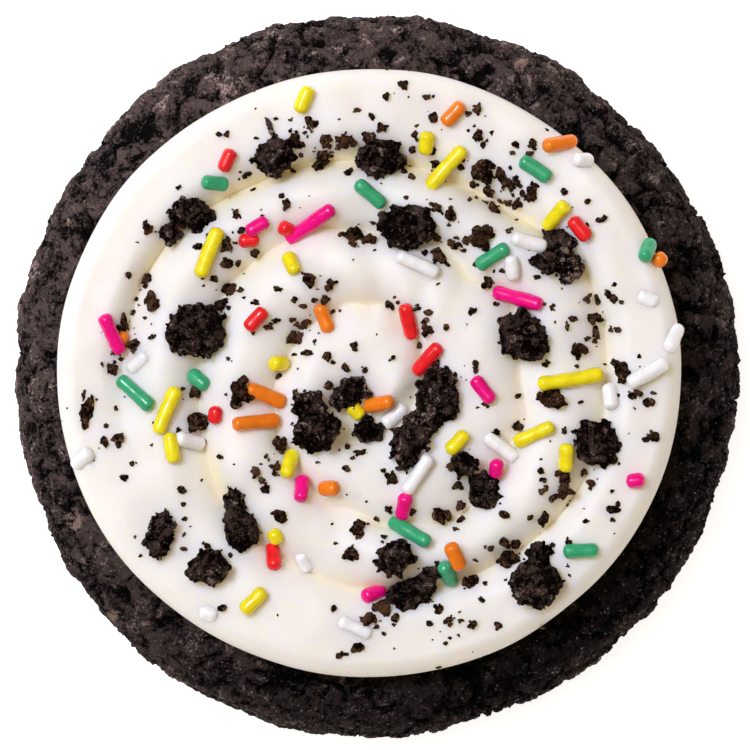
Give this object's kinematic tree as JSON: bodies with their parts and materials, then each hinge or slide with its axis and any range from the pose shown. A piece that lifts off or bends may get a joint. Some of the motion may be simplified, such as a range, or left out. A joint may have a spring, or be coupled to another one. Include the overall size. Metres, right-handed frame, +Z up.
{
  "type": "birthday cake cookie",
  "caption": "Thick round chocolate cookie under a spiral of piped white icing, topped with coloured sugar sprinkles and broken dark biscuit.",
  "frame": {"origin": "middle of the cookie's flat underside, which rests on the surface", "axes": "+Z up through the icing; +Y towards the top of the picture and +X towards its right, as seen from above"},
  "size_m": [0.1084, 0.1082, 0.0291],
  "materials": {
    "cookie": "baked dark chocolate dough, dry, craggy and finely crumbed",
    "icing": "soft white icing with a satin sheen, creamy in its grooves",
    "biscuit": "broken dark chocolate biscuit, rough and crumbly",
    "sprinkle_yellow": "yellow sugar with a thin shine",
    "sprinkle_orange": "orange sugar with a thin shine",
    "sprinkle_red": "red sugar with a thin shine",
    "sprinkle_pink": "bright pink sugar with a thin shine",
    "sprinkle_green": "green sugar with a thin shine",
    "sprinkle_white": "white sugar with a thin shine"
  },
  "bodies": {
    "root": {"cookie": "cookie", "frosting": "icing", "chunk_01": "biscuit", "chunk_02": "biscuit", "chunk_03": "biscuit", "chunk_04": "biscuit", "chunk_05": "biscuit", "chunk_06": "biscuit", "chunk_07": "biscuit", "chunk_08": "biscuit", "chunk_09": "biscuit", "chunk_10": "biscuit", "chunk_11": "biscuit", "chunk_12": "biscuit", "chunk_13": "biscuit", "chunk_14": "biscuit", "chunk_15": "biscuit", "chunk_16": "biscuit", "chunk_17": "biscuit", "chunk_18": "biscuit", "chunk_19": "biscuit"}
  },
  "joints": []
}
